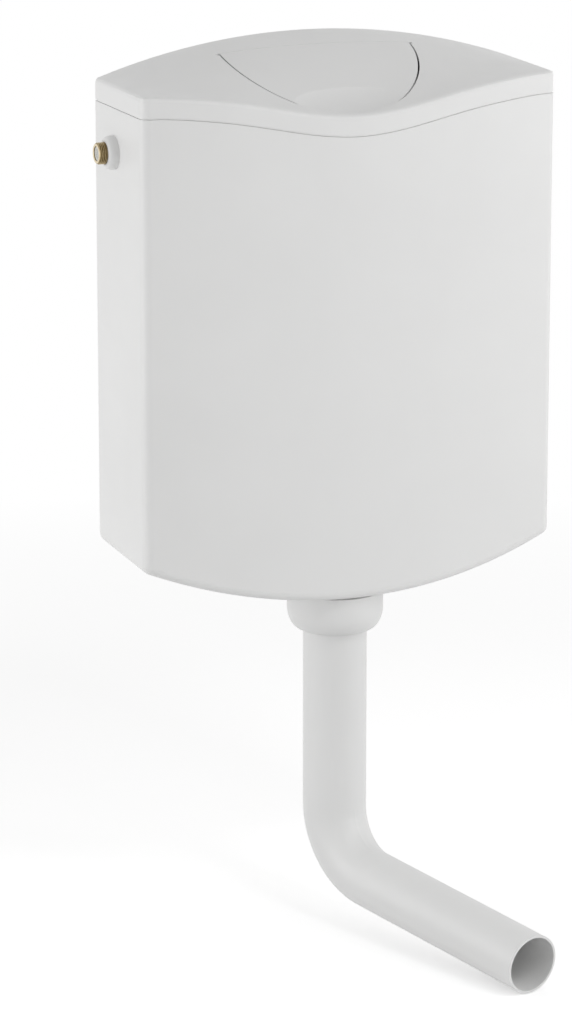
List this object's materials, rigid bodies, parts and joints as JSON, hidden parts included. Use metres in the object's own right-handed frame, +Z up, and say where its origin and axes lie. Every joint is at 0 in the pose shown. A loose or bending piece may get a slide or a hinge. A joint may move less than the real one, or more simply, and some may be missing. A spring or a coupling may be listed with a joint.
{
  "type": "toilet cistern",
  "caption": "Wall-hung plastic toilet cistern: domed lid with a hinged flush flap, side float valve, lever-lifted flush valve, coupling nut and a bent flush pipe.",
  "frame": {"origin": "on the wall face, midway between the two wall-screw holes", "axes": "+X to the right as one faces the cistern, +Y into the wall, +Z up"},
  "size_m": [0.3533, 0.3021, 0.6956],
  "materials": {
    "white_shell": "satin moulded white",
    "white_pipe": "satin extruded white",
    "brass": "turned, slightly dull",
    "black_rubber": "matt moulded",
    "grey_valve": "moulded",
    "pale_valve": "moulded",
    "blue_lever": "moulded",
    "foam": "closed-cell foam",
    "steel": "stainless wire and rod"
  },
  "bodies": {
    "cistern": {"tank": "white_shell", "valve_base": "grey_valve", "base_gasket": "black_rubber", "valve_housing": "grey_valve", "coupling_nut": "white_pipe", "pipe_seal": "black_rubber", "flush_pipe": "white_pipe", "inlet_tail": "brass", "inlet_lock_nut": "white_pipe", "inlet_washer": "black_rubber", "fill_valve_body": "pale_valve", "silencer_tube": "pale_valve", "lever_bracket": "grey_valve", "lever_pivot_pin": "steel", "arm_pivot_pin": "steel"},
    "lid": {"lid": "white_shell", "button_hinge_pins": "steel"},
    "button": {"flush_button": "white_shell"},
    "lever": {"flush_lever": "blue_lever"},
    "plunger": {"overflow_plunger": "pale_valve", "flush_seal": "black_rubber", "plunger_float": "foam", "plunger_spring": "steel"},
    "float": {"float_arm": "blue_lever", "water_float": "foam", "float_adjusting_screw": "grey_valve"},
    "piston": {"valve_piston": "grey_valve", "piston_washer": "black_rubber"}
  },
  "joints": [
    {"name": "lid_lift", "type": "slide", "parent": "cistern", "child": "lid", "axis": [0, 0, 1], "range_m": [0, 0.12]},
    {"name": "button_press", "type": "hinge", "parent": "lid", "child": "button", "pos_m": [0, -0.029, 0.06646], "axis": [1, 0, 0], "range_deg": [0, 8], "stiffness_Nm_per_rad": 3, "springref_deg": -2.86},
    {"name": "lever_rock", "type": "hinge", "parent": "cistern", "child": "lever", "pos_m": [0.032, -0.0688, 0.01], "axis": [0, 1, 0], "range_deg": [0, 20]},
    {"name": "plunger_lift", "type": "slide", "parent": "cistern", "child": "plunger", "axis": [0, 0, 1], "range_m": [0, 0.0107], "deforming": ["plunger_spring"]},
    {"name": "float_swing", "type": "hinge", "parent": "cistern", "child": "float", "pos_m": [-0.1165, -0.0399, -0.0059], "axis": [0, -1, 0], "range_deg": [0, 25]},
    {"name": "piston_slide", "type": "slide", "parent": "cistern", "child": "piston", "axis": [-1, 0, 0], "range_m": [0, 0.0051]}
  ],
  "couplings": [
    {"joint": "lever_rock", "follows": "button_press", "ratio": 2.5},
    {"joint": "plunger_lift", "follows": "button_press", "m_per_rad": 0.076633},
    {"joint": "piston_slide", "follows": "float_swing", "m_per_rad": 0.011688}
  ]
}
